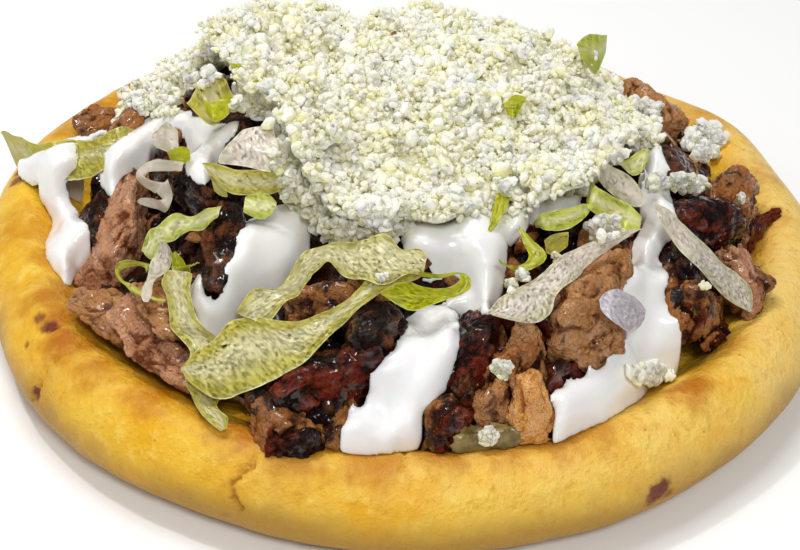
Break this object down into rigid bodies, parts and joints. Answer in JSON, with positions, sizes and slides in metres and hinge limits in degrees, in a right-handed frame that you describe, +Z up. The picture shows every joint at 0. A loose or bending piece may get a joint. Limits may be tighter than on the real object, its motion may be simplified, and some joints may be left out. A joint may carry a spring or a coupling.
{
  "type": "sope",
  "caption": "Round fried masa base with a pinched rim, filled with chopped grilled meat, lettuce shreds and crema drizzle under a heap of crumbled white cheese.",
  "frame": {"origin": "middle of the masa base's flat underside", "axes": "+Z up, -Y towards the front as pictured, +X to the right"},
  "size_m": [0.1212, 0.1198, 0.0411],
  "materials": {
    "masa": "fried corn dough, golden, slightly oily",
    "spread": "moist bean paste",
    "bed": "dark finely chopped grilled meat, moist",
    "charred": "charred meat, glistening",
    "dark_red": "dark red grilled meat, wet",
    "brown": "brown grilled meat, moist",
    "tan": "light brown grilled meat, moist",
    "pink": "pink-brown meat fibres, moist",
    "pale_leaf": "pale lettuce rib and blade, thin and translucent",
    "yellow_leaf": "yellow-green lettuce, thin and translucent",
    "green_leaf": "green lettuce, thin and translucent",
    "crema": "thick cream, glossy white",
    "cheese": "crumbled fresh white cheese, dry"
  },
  "bodies": {
    "root": {"masa_base": "masa", "bean_spread": "spread", "meat_bed": "bed", "meat_left_window": "charred", "meat_left_low": "tan", "meat_left_strip": "pink", "meat_front_left_slab": "pink", "meat_front_left_top": "tan", "meat_left_dark_strip": "charred", "meat_charred_finger": "charred", "meat_under_leaf": "brown", "meat_front_red_strip": "dark_red", "meat_front_low": "brown", "meat_front_black": "charred", "meat_front_dark": "dark_red", "meat_front_rib": "brown", "meat_front_tan": "tan", "meat_front_red_brown": "dark_red", "meat_front_orange": "tan", "meat_right_dark_pocket": "dark_red", "meat_right_slab": "brown", "meat_right_crumbled": "tan", "meat_right_dark": "dark_red", "meat_right_tan": "tan", "meat_right_outer": "brown", "meat_right_wet_strip": "dark_red", "meat_right_upright": "brown", "meat_right_upper": "brown", "meat_left_rim": "dark_red", "meat_left_upper": "brown", "meat_back_left": "brown", "meat_back": "pink", "meat_back_right": "tan", "leaf_over_left_rim": "pale_leaf", "leaf_right_blades": "green_leaf", "leaf_right_bright": "green_leaf", "leaf_left_cup": "yellow_leaf", "leaf_centre_left_pale": "pale_leaf", "leaf_centre_left_sheet": "pale_leaf", "leaf_s_ribbon": "pale_leaf", "leaf_front_arm": "pale_leaf", "leaf_left_light_green": "green_leaf", "leaf_left_curl": "yellow_leaf", "leaf_left_stick": "pale_leaf", "leaf_front_big": "pale_leaf", "leaf_front_lens": "yellow_leaf", "leaf_front_ruffle": "pale_leaf", "leaf_right_green": "green_leaf", "leaf_pale_strip": "pale_leaf", "leaf_bright_hook": "yellow_leaf", "leaf_right_strip": "pale_leaf", "leaf_back_right": "pale_leaf", "crema_left_strand": "crema", "crema_left_band": "crema", "crema_centre_left": "crema", "crema_front_drop": "crema", "crema_centre": "crema", "crema_right": "crema", "cheese_clump_right": "cheese", "cheese_heap": "cheese"}
  },
  "joints": []
}
